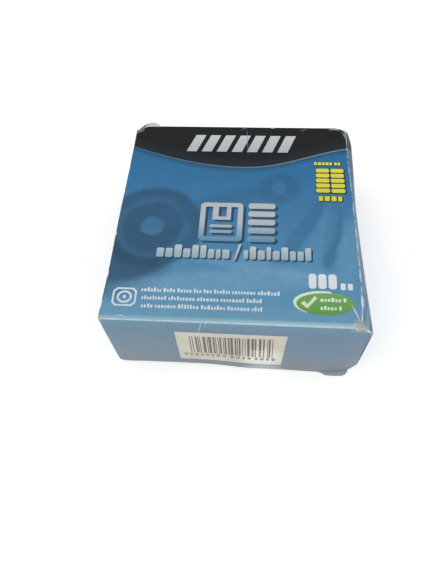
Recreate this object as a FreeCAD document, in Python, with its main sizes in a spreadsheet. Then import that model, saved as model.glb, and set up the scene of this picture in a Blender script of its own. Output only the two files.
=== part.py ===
import FreeCAD, Part
import os
import math
import Sketcher

# A worn folding carton of 3.5 inch diskettes, lying on its back panel.
# X runs across the front panel, Y from the glued end to the tuck lid, Z up through the front panel.
# The origin is the middle of the base of the whole carton's box.

DISK_COUNT = 10
ROUND_SIDES = 20  # round forms that repeat in every diskette are drawn with this many sides
CAVITY_SIDES = 8
ROUGH_RADIUS = 10.0  # a sketch's outlines start as rings, this much apart, before their sizes are bound
NEARLY = 0.01  # mm, within which an edge counts as lying in a plane

doc = FreeCAD.newDocument("diskette_carton")
dims = doc.addObject("Spreadsheet::Sheet", "dims")

# Driving sizes in millimetres, one cell each
SIZES = {
    # Carton, all from one sheet of folding boxboard, made to fit the stack of diskettes
    "card": 0.5,
    "width_play": 2.0,  # free room round the stack, across
    "length_play": 1.85,  # and along
    "head_room": 4.0,  # over the stack, for the labels and the tuck tab
    "fold_radius": 0.7,  # outside of the creases
    "side_bulge": 1.2,  # the right wall's shoulder stands out this far along its length
    "side_foot": 0.7,  # and its foot this far
    "crush_bulge": 4.3,  # the same two at the crushed corner of the glued end
    "crush_foot": 1.9,
    "crush_length": 21.0,  # how far the crush reaches from the glued end
    "shoulder_drop": 3.6,  # from the front panel down to the shoulder
    "foot_height": 3.0,
    "end_step": 0.6,  # the glued end's cut edge stays this far above the base
    "lip_out": 1.6,  # the base's layer that stands out at the crushed corner
    "lip_width": 12.0,
    "lip_round": 1.4,
    "seam_height": 12.0,  # glued seam tab inside the left wall
    "seam_taper": 6.0,
    "seam_end_gap": 1.0,
    "dust_reach": 38.0,  # dust flaps behind the lid
    "dust_cut": 2.6,  # their top edges stay this far below the front panel's outer face
    "dust_foot": 1.2,
    "dust_taper": 4.0,
    # Tuck lid, hinged on the crease of the back panel
    "lid_gap": 0.15,  # lid panel to dust flaps
    "front_edge_gap": 0.05,  # front panel's cut edge to the lid's outer face
    "hinge_gap": 0.05,
    "lid_side_gap": 0.3,
    "tab_length": 12.0,
    "tab_drop": 2.0,  # the tab is folded past square by this much over its length
    "tab_top_gap": 0.1,
    "tab_side_gap": 1.2,
    "tab_corner": 8.0,
    "lid_fold_radius": 0.4,
    # Pad of blank labels on the stack, cut to lie inside its edges
    "label_pad": 0.9,
    "label_side_margin": 9.0,
    "label_end_margin": 2.0,  # at the glued end
    "label_lid_margin": 12.0,
    # Diskette
    "disk_width": 90.0,
    "disk_length": 94.0,
    "disk_thick": 3.3,
    "corner_radius": 2.0,
    "lead_chamfer": 5.0,
    "face_recess": 0.3,  # depth of the shutter track and the label field
    "label_field_margin": 10.0,  # from the side edges
    "label_field_gap": 11.0,  # from the shutter's track on the label side
    "label_wrap": 17.0,  # the field's length on the hub side
    "case_wall": 1.5,  # between the disc's space and the nearest edge
    "groove_floor": 0.25,  # between the disc's space and the groove for the shutter's lips
    "spindle_lead": 45.5,  # spindle axis from the leading edge
    "head_window_width": 9.0,
    "head_window_lead": 3.5,  # from the leading edge
    "head_window_length": 22.0,
    "corner_hole": 3.6,  # the two square holes beside the rear edge
    "corner_hole_side": 4.6,  # their centres from the side edge
    "corner_hole_rear": 5.6,  # and from the rear edge
    "arrow_size": 4.0,
    "arrow_side": 6.0,
    "arrow_lead": 6.0,
    # Shutter, a folded steel sheet around the leading edge
    "shutter_left": 11.5,  # its left edge from the head window's centre line
    "shutter_right": 4.0,  # its right edge from its own window
    "shutter_rear": 4.5,  # and its rear edge
    "shutter_sheet": 0.2,
    "shutter_travel": 17.0,
    "shutter_face_gap": 0.05,  # below the shell's outer faces
    "shutter_end_gap": 0.5,
    "shutter_window_width": 11.0,
    "track_end_gap": 1.0,
    "lip_height": 0.25,  # turned-in rear edge that runs in a groove
    "lip_clear": 0.1,
    # Its wire spring, bonded in a corner pocket of the hub side
    "spring_wall": 1.5,
    "spring_reach": 13.0,
    "spring_wire": 0.5,
    # Magnetic disc with its bonded steel hub
    "film_clear": 0.6,  # round the film's rim
    "film_thick": 0.08,
    "hub_radius": 12.5,
    "hub_clear": 1.0,  # round the hub in the shell's hole
    "hub_sink": 0.25,  # the hub's face below the shell's
    "spindle_square": 4.0,
    "drive_slot_radius": 8.6,
    "drive_slot_length": 6.0,
    "drive_slot_width": 3.6,
    # Write-protect tab, a slider with rails
    "write_tab_width": 3.8,
    "write_tab_length": 4.6,
    "write_tab_travel": 4.2,
    "rail_width": 0.7,
    "rail_depth": 0.6,
    "tab_play": 0.1,
    "grip_width": 2.4,
    "grip_length": 1.0,
    "grip_depth": 0.4,
}
for row, (alias, number) in enumerate(SIZES.items(), start=1):
    dims.set(f"A{row}", alias.replace("_", " "))
    dims.set(f"B{row}", str(number))
    dims.setAlias(f"B{row}", alias)
doc.recompute()

# Sizes and places that several pieces share, each an expression of the sheet's cells
CARD = "dims.card"
WIDTH = f"(dims.disk_width + 3 * {CARD} + dims.width_play)"  # fold to fold, two walls and the seam tab
LENGTH = f"(dims.disk_length + 4 * {CARD} + dims.lid_gap + dims.length_play)"
TOP = f"({DISK_COUNT} * dims.disk_thick + 2 * {CARD} + dims.head_room)"
NEAR = f"((dims.lip_out - {LENGTH}) / 2)"  # outer face of the glued end
FAR = f"({NEAR} + {LENGTH})"  # outer face of the lid
LEFT = f"(-({WIDTH} + dims.crush_bulge) / 2)"
RIGHT = f"({LEFT} + {WIDTH})"
MIDDLE = f"({LEFT} + {WIDTH} / 2)"
SLEEVE_END = f"({FAR} - {CARD} - dims.lid_gap)"  # outer face of the dust flaps
CRUSH_START = f"({NEAR} + dims.crush_length)"
END_INSIDE = f"({NEAR} + 2 * {CARD})"  # the glued end is two layers of card
DUST_TOP = f"({TOP} - dims.dust_cut)"
HINGE_Y = f"({FAR} - {CARD} / 2)"
HINGE_Z = f"({CARD} / 2)"
STACK_X = f"({MIDDLE} + {CARD} / 2)"  # between the seam tab and the right wall
STACK_Y = f"(({END_INSIDE} + {SLEEVE_END} - {CARD}) / 2)"
STACK_TOP = f"({CARD} + {DISK_COUNT} * dims.disk_thick)"


def sketch(body, name, plane, at, loops):
    """A sketch of closed loops on an origin plane, moved along its axis to the coordinate at.

    A loop is a list of its corners, each an (x, y) pair of expressions.
    """
    made = body.newObject("Sketcher::SketchObject", name)
    origin_plane = next(f for f in body.Origin.OriginFeatures if f.Role == plane)
    made.AttachmentSupport = [(origin_plane, "")]
    made.MapMode = "FlatFace"
    sign = "-" if plane == "XZ_Plane" else ""  # that plane's normal is -Y
    made.setExpression("AttachmentOffset.Base.z", f"{sign}({at})")
    for loop_number, loop in enumerate(loops):
        first = made.GeometryCount
        count = len(loop)
        start_radius = ROUGH_RADIUS * (loop_number + 1)
        rough = [
            FreeCAD.Vector(
                start_radius * math.cos(2 * math.pi * i / count),
                start_radius * math.sin(2 * math.pi * i / count),
                0,
            )
            for i in range(count)
        ]
        for i in range(count):
            made.addGeometry(Part.LineSegment(rough[i], rough[(i + 1) % count]))
        for i in range(count):
            made.addConstraint(
                Sketcher.Constraint("Coincident", first + i, 2, first + (i + 1) % count, 1)
            )
        for i, (x, y) in enumerate(loop):
            for kind, place, value in (("DistanceX", x, rough[i].x), ("DistanceY", y, rough[i].y)):
                number = made.addConstraint(
                    Sketcher.Constraint(kind, -1, 1, first + i, 1, value)
                )
                made.setExpression(f"Constraints[{number}]", place)
    return made


def rectangle(x_low, x_high, y_low, y_high):
    return [(x_low, y_low), (x_high, y_low), (x_high, y_high), (x_low, y_high)]


def centred(x, y, width, length):
    """A rectangle loop of the given size about (x, y)."""
    return rectangle(
        f"{x} - {width} / 2", f"{x} + {width} / 2", f"{y} - {length} / 2", f"{y} + {length} / 2"
    )


def polygon(x, y, reach, sides):
    """A regular loop about (x, y), reach from its middle to its sides."""
    step = 360 / sides
    radius = f"{reach} / cos({step / 2} deg)"
    turns = [(i + 0.5) * step for i in range(sides)]
    return [(f"{x} + {radius} * cos({a} deg)", f"{y} + {radius} * sin({a} deg)") for a in turns]


def pad(body, name, profile, length, reverse=False):
    made = body.newObject("PartDesign::Pad", name)
    made.Profile = profile
    made.setExpression("Length", length)
    made.Reversed = reverse
    doc.recompute()
    return made


def pocket(body, name, profile, depth=None, reverse=False):
    """Cuts depth, or through everything, and fails if nothing is cut away."""
    before = body.Shape.Volume
    made = body.newObject("PartDesign::Pocket", name)
    made.Profile = profile
    if depth is None:
        made.Type = "ThroughAll"
    else:
        made.setExpression("Length", depth)
    made.Reversed = reverse
    doc.recompute()
    if not body.Shape.Volume < before - 1e-6:
        raise RuntimeError(f"{body.Label}: {name} cuts nothing")
    return made


def fillet(body, name, radius, wanted):
    """Rounds the edges for which wanted(edge) is true."""
    base = body.Tip
    picked = [f"Edge{i}" for i, e in enumerate(base.Shape.Edges, start=1) if wanted(e)]
    if not picked:
        raise RuntimeError(f"{body.Label}: {name} finds no edge")
    made = body.newObject("PartDesign::Fillet", name)
    made.Base = (base, picked)
    made.setExpression("Radius", radius)
    doc.recompute()
    return made


def new_body(label):
    made = doc.addObject("PartDesign::Body", label)
    made.Label = label
    return made


def along(edge, axis):
    """Whether a straight edge runs along the given axis, 0 to 2."""
    if edge.Curve.TypeId != "Part::GeomLine":
        return False
    direction = edge.Vertexes[-1].Point - edge.Vertexes[0].Point
    return abs(direction[axis]) > 0.999 * direction.Length


def value(expression):
    """The number, in millimetres, that an expression of the sheet's cells has."""
    return float(dims.evalExpression(expression))


# Carton: a bulging sleeve, closed at the glued end, with dust flaps and a glued seam


def sleeve_outline(shoulder, foot, inset):
    """The carton's cross-section, inset by a thickness, with the right wall standing out."""
    return [
        (f"{LEFT} + {inset}", inset),
        (f"{RIGHT} - {inset}", inset),
        (f"{RIGHT} + {foot} - {inset}", "dims.foot_height"),
        (f"{RIGHT} + {shoulder} - {inset}", f"{TOP} - dims.shoulder_drop"),
        (f"{RIGHT} - {inset}", f"{TOP} - {inset}"),
        (f"{LEFT} + {inset}", f"{TOP} - {inset}"),
    ]


def loft(body, kind, name, stations, inset):
    """A ruled loft through the sleeve's outline at (y, shoulder, foot) stations."""
    profiles = [
        sketch(body, f"{name}_{i}", "XZ_Plane", y, [sleeve_outline(shoulder, foot, inset)])
        for i, (y, shoulder, foot) in enumerate(stations)
    ]
    doc.recompute()
    made = body.newObject(kind, name)
    made.Profile = profiles[0]
    made.Sections = profiles[1:]
    made.Ruled = True
    doc.recompute()
    return made


def make_carton():
    body = new_body("carton")
    side = ("dims.side_bulge", "dims.side_foot")
    crush = ("dims.crush_bulge", "dims.crush_foot")
    # At the inner face of the glued end the crush is a little less than at the outer face
    share = f"(1 - 2 * {CARD} / dims.crush_length)"
    inner_crush = tuple(f"({low} + ({high} - {low}) * {share})" for low, high in zip(side, crush))
    loft(
        body,
        "PartDesign::AdditiveLoft",
        "sleeve",
        [(SLEEVE_END, *side), (CRUSH_START, *side), (NEAR, *crush)],
        "0",
    )
    left, near, top = value(LEFT), value(NEAR), value(TOP)

    def is_fold(edge):
        """The left wall's two long folds, and the front panel's fold to the glued end."""
        box = edge.BoundBox
        on_left = box.XMax < left + NEARLY and along(edge, 1)
        near_top = box.ZMin > top - NEARLY and box.YMax < near + NEARLY and along(edge, 0)
        return on_left or near_top

    fillet(body, "folds", "dims.fold_radius", is_fold)
    loft(
        body,
        "PartDesign::SubtractiveLoft",
        "hollow",
        [(f"{SLEEVE_END} + 1", *side), (CRUSH_START, *side), (END_INSIDE, *inner_crush)],
        CARD,
    )
    # The front panel's cut edge reaches over the lid's fold, and the back panel reaches the lid's crease
    edge_left, edge_start = f"{LEFT} + dims.fold_radius", f"{SLEEVE_END} - {CARD}"
    front_end = f"{FAR} - dims.front_edge_gap"
    front_edge = rectangle(edge_left, RIGHT, edge_start, front_end)
    front_edge_profile = sketch(body, "front_edge_profile", "XY_Plane", TOP, [front_edge])
    pad(body, "front_edge", front_edge_profile, CARD, reverse=True)
    back_end = f"{HINGE_Y} - {CARD} / 2 - dims.hinge_gap"
    back_edge = rectangle(edge_left, RIGHT, edge_start, back_end)
    back_edge_profile = sketch(body, "back_edge_profile", "XY_Plane", "0", [back_edge])
    pad(body, "back_edge", back_edge_profile, CARD)
    # Dust flaps turn in from both side walls and stay below the tuck tab
    wall_rise = f"({TOP} - dims.shoulder_drop - dims.foot_height)"
    slope = f"(dims.side_bulge - dims.side_foot) / {wall_rise}"
    root_low = f"({RIGHT} + dims.side_foot - {CARD} / 2)"
    root_high = f"({root_low} + {slope} * ({DUST_TOP} - dims.dust_foot - dims.foot_height))"
    flaps = [
        [
            (f"{LEFT} + {CARD} / 2", "dims.dust_foot"),
            (f"{LEFT} + dims.dust_reach", "dims.dust_foot + dims.dust_taper"),
            (f"{LEFT} + dims.dust_reach", f"{DUST_TOP} - dims.dust_taper"),
            (f"{LEFT} + {CARD} / 2", DUST_TOP),
        ],
        [
            (f"{RIGHT} - {CARD} / 2", "dims.dust_foot"),
            (root_low, "dims.foot_height"),
            (root_high, f"{DUST_TOP} - dims.dust_foot"),
            (f"{RIGHT} - {CARD} / 2", DUST_TOP),
            (f"{RIGHT} - dims.dust_reach", f"{DUST_TOP} - dims.dust_taper"),
            (f"{RIGHT} - dims.dust_reach", "dims.dust_foot + dims.dust_taper"),
        ],
    ]
    flap_profile = sketch(body, "dust_profile", "XZ_Plane", SLEEVE_END, flaps)
    pad(body, "dust_flaps", flap_profile, CARD)
    # The seam tab is glued inside the left wall, with tapered ends
    seam_start = f"({END_INSIDE} - {CARD} / 2)"
    seam_end = f"({SLEEVE_END} - {CARD} - dims.seam_end_gap)"
    seam_profile = sketch(
        body,
        "seam_profile",
        "YZ_Plane",
        f"{LEFT} + {CARD} / 2",
        [
            [
                (seam_start, f"{CARD} / 2"),
                (seam_end, f"{CARD} / 2"),
                (f"{seam_end} - dims.seam_taper", "dims.seam_height"),
                (f"{seam_start} + dims.seam_taper", "dims.seam_height"),
            ]
        ],
    )
    pad(body, "seam_tab", seam_profile, f"1.5 * {CARD}")
    # The outer layer of the glued end stops short of the base, where the inner layer is folded
    step = rectangle(
        f"{LEFT} - {CARD}", f"{RIGHT} + dims.crush_bulge + {CARD}", f"{NEAR} - {CARD}", f"{NEAR} + {CARD}"
    )
    step_profile = sketch(body, "end_step_profile", "XY_Plane", "0", [step])
    pocket(body, "end_step_cut", step_profile, "dims.end_step", reverse=True)
    # At the crushed corner a layer of the base stands out under it, with a rounded end
    lip_left, lip_end = f"{RIGHT} - dims.lip_width", f"{NEAR} - dims.lip_out"
    lip = [
        (lip_left, END_INSIDE),
        (lip_left, f"{NEAR} + {CARD}"),
        (f"{lip_left} + 2 * dims.lip_out", lip_end),
        (RIGHT, lip_end),
        (RIGHT, END_INSIDE),
    ]
    lip_profile = sketch(body, "lip_profile", "XY_Plane", "0", [lip])
    pad(body, "lip", lip_profile, CARD)
    lip_tip = value(lip_end)

    def is_lip_end(edge):
        box = edge.BoundBox
        return box.YMax < lip_tip + NEARLY and along(edge, 2) and box.XMin > value(MIDDLE)

    fillet(body, "lip_corner", "dims.lip_round", is_lip_end)
    return body


def make_lid():
    """Lid panel and tuck tab, folded as one piece, with the crease as a round lower end."""
    body = new_body("lid_flap")
    tab_top = f"({TOP} - {CARD} - dims.tab_top_gap)"
    lid_low = f"{LEFT} + dims.lid_side_gap"
    lid_width = f"{WIDTH} - 2 * dims.lid_side_gap"
    panel_profile = sketch(
        body,
        "panel_profile",
        "YZ_Plane",
        lid_low,
        [rectangle(f"{FAR} - {CARD}", FAR, HINGE_Z, tab_top)],
    )
    pad(body, "panel", panel_profile, lid_width)
    # The tab's outline lies on its own slope, which starts at the fold
    slope = "atan(dims.tab_drop / dims.tab_length)"
    tab_left = f"{LEFT} + {CARD} + dims.tab_side_gap"
    tab_profile = sketch(
        body,
        "tab_profile",
        "XY_Plane",
        tab_top,
        [
            rectangle(
                tab_left,
                f"{RIGHT} - {CARD} - dims.tab_side_gap",
                f"-dims.tab_length / cos({slope})",
                f"-{CARD} / 2",
            )
        ],
    )
    tab_profile.AttachmentOffset = FreeCAD.Placement(
        FreeCAD.Vector(), FreeCAD.Rotation(FreeCAD.Vector(1, 0, 0), 1)
    )
    tab_profile.setExpression("AttachmentOffset.Base.y", FAR)
    tab_profile.setExpression("AttachmentOffset.Base.z", tab_top)
    tab_profile.setExpression("AttachmentOffset.Rotation.Angle", slope)
    pad(body, "tab", tab_profile, CARD, reverse=True)
    far, card, inner_end = value(FAR), value(CARD), value(f"{FAR} - dims.tab_length")

    def is_tab_corner(edge):
        return edge.BoundBox.YMax < inner_end + card and edge.Length < 2 * card

    def is_lid_fold(edge):
        box = edge.BoundBox
        return box.YMin > far - NEARLY and along(edge, 0) and box.ZMin > card

    fillet(body, "tab_corners", "dims.tab_corner", is_tab_corner)
    fillet(body, "lid_fold", "dims.lid_fold_radius", is_lid_fold)
    crease = body.newObject("PartDesign::AdditiveCylinder", "crease")
    crease.setExpression("Radius", f"{CARD} / 2")
    crease.setExpression("Height", lid_width)
    plane = next(f for f in body.Origin.OriginFeatures if f.Role == "YZ_Plane")
    crease.AttachmentSupport = [(plane, "")]
    crease.MapMode = "FlatFace"
    crease.setExpression("AttachmentOffset.Base.x", HINGE_Y)
    crease.setExpression("AttachmentOffset.Base.y", HINGE_Z)
    crease.setExpression("AttachmentOffset.Base.z", lid_low)
    doc.recompute()
    return body


def make_label_pad():
    """Blank labels on their backing, folded as one pad, lying on the top diskette."""
    body = new_body("label_sheets")
    outline = rectangle(
        f"{STACK_X} - dims.disk_width / 2 + dims.label_side_margin",
        f"{STACK_X} + dims.disk_width / 2 - dims.label_side_margin",
        f"{STACK_Y} - dims.disk_length / 2 + dims.label_end_margin",
        f"{STACK_Y} + dims.disk_length / 2 - dims.label_lid_margin",
    )
    profile = sketch(body, "pad_profile", "XY_Plane", STACK_TOP, [outline])
    pad(body, "pad", profile, "dims.label_pad")
    return body


# Diskette, in its own frame: middle of the shell, leading edge at +Y, label side at +Z
HALF_W = "(dims.disk_width / 2)"
HALF_L = "(dims.disk_length / 2)"
HALF_T = "(dims.disk_thick / 2)"
TRACK_LEFT = "(-dims.shutter_left - dims.shutter_travel - dims.shutter_end_gap)"
SHUTTER_SPAN = "(dims.shutter_travel + dims.shutter_window_width / 2 + dims.shutter_right)"
TRACK_RIGHT = f"({SHUTTER_SPAN} + dims.shutter_end_gap)"
HEAD_END = f"({HALF_L} - dims.head_window_lead)"
HEAD_START = f"({HEAD_END} - dims.head_window_length)"
SHUTTER_REAR = f"({HEAD_START} - dims.shutter_rear)"
TRACK_REAR = f"({SHUTTER_REAR} - dims.track_end_gap)"
LIP_REAR = f"({SHUTTER_REAR} - dims.lip_clear)"
LIP_FRONT = f"({SHUTTER_REAR} + dims.shutter_sheet + dims.lip_clear)"
SPINDLE = f"({HALF_L} - dims.spindle_lead)"
TO_REAR = "(dims.disk_length - dims.spindle_lead)"
CAVITY_REACH = f"(min({HALF_W}; dims.spindle_lead; {TO_REAR}) - dims.case_wall)"
CAVITY_DEPTH = f"({HALF_T} - dims.face_recess - dims.lip_height - dims.lip_clear - dims.groove_floor)"
HOLE_X = f"({HALF_W} - dims.corner_hole_side)"
HOLE_Y = f"(-{HALF_L} + dims.corner_hole_rear)"
HEAD_WINDOW = rectangle(
    "-dims.head_window_width / 2", "dims.head_window_width / 2", HEAD_START, HEAD_END
)


def make_shell(label, front):
    """One moulded half of the case: front is the label side, otherwise the hub side."""
    body = new_body(label)
    face = HALF_T if front else f"(-{HALF_T})"
    outline = sketch(
        body,
        f"{label}_outline",
        "XY_Plane",
        "0",
        [
            [
                (f"-{HALF_W}", f"-{HALF_L}"),
                (HALF_W, f"-{HALF_L}"),
                (HALF_W, f"{HALF_L} - dims.lead_chamfer"),
                (f"{HALF_W} - dims.lead_chamfer", HALF_L),
                (f"-{HALF_W}", HALF_L),
            ]
        ],
    )
    pad(body, f"{label}_plate", outline, HALF_T, reverse=not front)
    chamfer_start = value(f"{HALF_L} - dims.lead_chamfer") - NEARLY

    def is_round_corner(edge):
        point = edge.BoundBox.Center
        return along(edge, 2) and not (point.x > 0 and point.y > chamfer_start)

    fillet(body, f"{label}_corners", "dims.corner_radius", is_round_corner)
    past_lead = f"{HALF_L} + dims.corner_radius"  # a cut that leaves the shell runs on this far
    past_rear = f"-{HALF_L} - dims.corner_radius"
    track = rectangle(TRACK_LEFT, TRACK_RIGHT, TRACK_REAR, past_lead)
    field_end = f"{TRACK_REAR} - dims.label_field_gap" if front else f"-{HALF_L} + dims.label_wrap"
    field_side = f"({HALF_W} - dims.label_field_margin)"
    loops = [track, rectangle(f"-{field_side}", field_side, past_rear, field_end)]
    if front:
        arrow_x = f"(-{HALF_W} + dims.arrow_side)"
        arrow_y = f"({HALF_L} - dims.arrow_lead)"
        loops.append(
            [
                (f"{arrow_x} - dims.arrow_size / 2", f"{arrow_y} - dims.arrow_size"),
                (f"{arrow_x} + dims.arrow_size / 2", f"{arrow_y} - dims.arrow_size"),
                (arrow_x, arrow_y),
            ]
        )
    recess = sketch(body, f"{label}_recess_profile", "XY_Plane", face, loops)
    pocket(body, f"{label}_recess", recess, "dims.face_recess", reverse=not front)
    floor = f"({face} {'-' if front else '+'} dims.face_recess)"
    groove = sketch(
        body, f"{label}_groove_profile", "XY_Plane", floor,
        [rectangle(TRACK_LEFT, TRACK_RIGHT, LIP_REAR, LIP_FRONT)],
    )
    pocket(body, f"{label}_groove", groove, "dims.lip_height + dims.lip_clear", reverse=not front)
    through = [
        rectangle(TRACK_LEFT, TRACK_RIGHT, f"{HALF_L} - dims.face_recess", past_lead),
        HEAD_WINDOW,
        centred(HOLE_X, HOLE_Y, "dims.corner_hole", "dims.corner_hole"),
    ]
    if front:
        through.append(centred(f"(-{HOLE_X})", HOLE_Y, "dims.corner_hole", "dims.corner_hole"))
    else:
        hub_hole = "(dims.hub_radius + dims.hub_clear)"
        through.append(polygon("0", SPINDLE, hub_hole, ROUND_SIDES))
        through.append(write_tab_slot("dims.write_tab_width"))
    cuts = sketch(body, f"{label}_cuts_profile", "XY_Plane", face, through)
    pocket(body, f"{label}_cuts", cuts, reverse=not front)
    # The disc's space is an octagon, as deep in each half as the shutter's groove allows
    cavity_outline = polygon("0", SPINDLE, CAVITY_REACH, CAVITY_SIDES)
    cavity = sketch(body, f"{label}_cavity_profile", "XY_Plane", "0", [cavity_outline])
    pocket(body, f"{label}_cavity", cavity, CAVITY_DEPTH, reverse=front)
    if not front:
        rails = sketch(
            body, f"{label}_rail_profile", "XY_Plane", "0",
            [write_tab_slot("(dims.write_tab_width + 2 * dims.rail_width)")],
        )
        pocket(body, f"{label}_rails", rails, "dims.rail_depth + dims.tab_play")
        add_spring(body)
    return body


def add_spring(body):
    """The shutter's wire spring, lying as a V in its pocket in the corner beside the track."""
    wall, wire = "dims.spring_wall", "dims.spring_wire"
    left, lead = f"(-{HALF_W} + {wall})", f"({HALF_L} - {wall})"
    reach_in, reach_back = f"({TRACK_LEFT} - {wall})", f"({lead} - dims.spring_reach)"
    pocket_outline = [(left, reach_back), (reach_in, lead), (left, lead)]
    room = sketch(body, "spring_room_profile", "XY_Plane", "0", [pocket_outline])
    pocket(body, "spring_room", room, CAVITY_DEPTH)
    # Both legs run from the bend in the corner, one wire's width from the walls
    outer_x, outer_y = f"({left} + {wire})", f"({lead} - {wire})"
    inner_x, inner_y = f"({outer_x} + {wire})", f"({outer_y} - {wire})"
    leg_x, leg_y = f"({reach_in} - 4 * {wire})", f"({reach_back} + 4 * {wire})"
    legs = [
        (outer_x, leg_y),
        (inner_x, leg_y),
        (inner_x, inner_y),
        (leg_x, inner_y),
        (leg_x, outer_y),
        (outer_x, outer_y),
    ]
    wire_profile = sketch(body, "spring_profile", "XY_Plane", f"-{CAVITY_DEPTH}", [legs])
    pad(body, "spring", wire_profile, wire)


def write_tab_slot(width):
    """The slot that a tab of this width slides in, with play on all sides."""
    play = "dims.tab_play"
    return rectangle(
        f"-{HOLE_X} - {width} / 2 - {play}",
        f"-{HOLE_X} + {width} / 2 + {play}",
        f"{HOLE_Y} - dims.write_tab_length / 2 - {play}",
        f"{HOLE_Y} + dims.write_tab_length / 2 + dims.write_tab_travel + {play}",
    )


def make_shutter():
    """Thin sheet folded round the leading edge, with turned-in rear edges and a window."""
    body = new_body("shutter")
    outer = f"({HALF_T} - dims.shutter_face_gap)"
    inner = f"({outer} - dims.shutter_sheet)"
    lip = f"({inner} - dims.lip_height)"
    lead = f"({HALF_L} - dims.shutter_face_gap)"
    lead_in = f"({lead} - dims.shutter_sheet)"
    rear_in = f"({SHUTTER_REAR} + dims.shutter_sheet)"
    upper = [
        (lead, outer),
        (SHUTTER_REAR, outer),
        (SHUTTER_REAR, lip),
        (rear_in, lip),
        (rear_in, inner),
        (lead_in, inner),
    ]
    lower = [(y, f"-{z}") for y, z in reversed(upper)]
    section = sketch(body, "shutter_section", "YZ_Plane", "-dims.shutter_left", [upper + lower])
    pad(body, "shutter_sheet_metal", section, f"dims.shutter_left + {SHUTTER_SPAN}")
    window_x = "dims.shutter_travel"
    window = sketch(
        body, "shutter_window_profile", "XY_Plane", HALF_T,
        [
            rectangle(
                f"{window_x} - dims.shutter_window_width / 2",
                f"{window_x} + dims.shutter_window_width / 2",
                HEAD_START,
                HEAD_END,
            )
        ],
    )
    pocket(body, "shutter_window", window)
    return body


def make_disc():
    """Magnetic film bonded to its steel hub."""
    body = new_body("disc")
    film = body.newObject("PartDesign::AdditivePrism", "film")
    film.Polygon = ROUND_SIDES
    film.setExpression("Circumradius", f"{CAVITY_REACH} - dims.film_clear")
    film.setExpression("Height", "dims.film_thick")
    plane = next(f for f in body.Origin.OriginFeatures if f.Role == "XY_Plane")
    film.AttachmentSupport = [(plane, "")]
    film.MapMode = "FlatFace"
    film.setExpression("AttachmentOffset.Base.y", SPINDLE)
    film.setExpression("AttachmentOffset.Base.z", "-dims.film_thick / 2")
    hub_outline = polygon("0", SPINDLE, "dims.hub_radius", ROUND_SIDES)
    hub = sketch(body, "hub_profile", "XY_Plane", "0", [hub_outline])
    pad(body, "hub", hub, f"{HALF_T} - dims.hub_sink", reverse=True)
    square = centred("0", SPINDLE, "dims.spindle_square", "dims.spindle_square")
    slot_y = f"({SPINDLE} + dims.drive_slot_radius)"
    slot = centred("0", slot_y, "dims.drive_slot_length", "dims.drive_slot_width")
    drive = sketch(body, "drive_profile", "XY_Plane", HALF_T, [square, slot])
    pocket(body, "drive_holes", drive)
    return body


def make_write_tab():
    """Slider with a rail on each side and a grip notch on the hub side."""
    body = new_body("write_tab")
    half = "(dims.write_tab_width / 2)"
    rail = f"({half} + dims.rail_width)"
    face = f"(-{HALF_T} + dims.tab_play)"
    rail_low = "(-dims.rail_depth)"
    top = "(-dims.tab_play / 2)"
    section = sketch(
        body,
        "write_tab_section",
        "XZ_Plane",
        f"{HOLE_Y} + dims.write_tab_length / 2",
        [
            [
                (f"-{HOLE_X} - {half}", face),
                (f"-{HOLE_X} + {half}", face),
                (f"-{HOLE_X} + {half}", rail_low),
                (f"-{HOLE_X} + {rail}", rail_low),
                (f"-{HOLE_X} + {rail}", top),
                (f"-{HOLE_X} - {rail}", top),
                (f"-{HOLE_X} - {rail}", rail_low),
                (f"-{HOLE_X} - {half}", rail_low),
            ]
        ],
    )
    pad(body, "write_tab_block", section, "dims.write_tab_length")
    grip = sketch(
        body, "grip_profile", "XY_Plane", face,
        [centred(f"(-{HOLE_X})", HOLE_Y, "dims.grip_width", "dims.grip_length")],
    )
    pocket(body, "grip", grip, "dims.grip_depth", reverse=True)
    return body


carton_pieces = [make_carton(), make_lid(), make_label_pad()]
disk_masters = {
    "front_shell": make_shell("front_shell", True),
    "back_shell": make_shell("back_shell", False),
    "shutter": make_shutter(),
    "disc": make_disc(),
    "write_tab": make_write_tab(),
}

# The stack: each diskette's pieces are linked copies, face to face on the back panel
disk_pieces = []
for disk in range(1, DISK_COUNT + 1):
    for piece, master in disk_masters.items():
        copy = doc.addObject("App::Link", f"disk_{disk:02d}_{piece}")
        copy.Label = f"disk_{disk:02d}_{piece}"
        copy.LinkedObject = master
        copy.setExpression("Placement.Base.x", STACK_X)
        copy.setExpression("Placement.Base.y", STACK_Y)
        copy.setExpression("Placement.Base.z", f"{CARD} + ({disk} - 0.5) * dims.disk_thick")
        disk_pieces.append(copy)
doc.recompute()

for item in doc.Objects:
    if "Invalid" in item.State or "Error" in item.State:
        raise RuntimeError(f"{item.Label} failed: {item.State}")

os.makedirs("parts", exist_ok=True)
for item in carton_pieces + disk_pieces:
    shape = Part.getShape(item)
    if shape.isNull() or not shape.isValid() or len(shape.Solids) != 1:
        raise RuntimeError(f"{item.Label} has no single valid solid")
    shape.exportStep(f"parts/{item.Label}.step")
    if not item.Label.startswith("disk_") or item.Label.startswith("disk_01"):
        box = shape.BoundBox
        print(
            f"{item.Label}: {shape.Volume:.1f} mm3,"
            f" x {box.XMin:.2f} to {box.XMax:.2f}, y {box.YMin:.2f} to {box.YMax:.2f},"
            f" z {box.ZMin:.2f} to {box.ZMax:.2f}"
        )
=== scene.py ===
import bpy
import bmesh
import math
import random
from functools import partial
from mathutils import Matrix, Vector, noise


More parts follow.
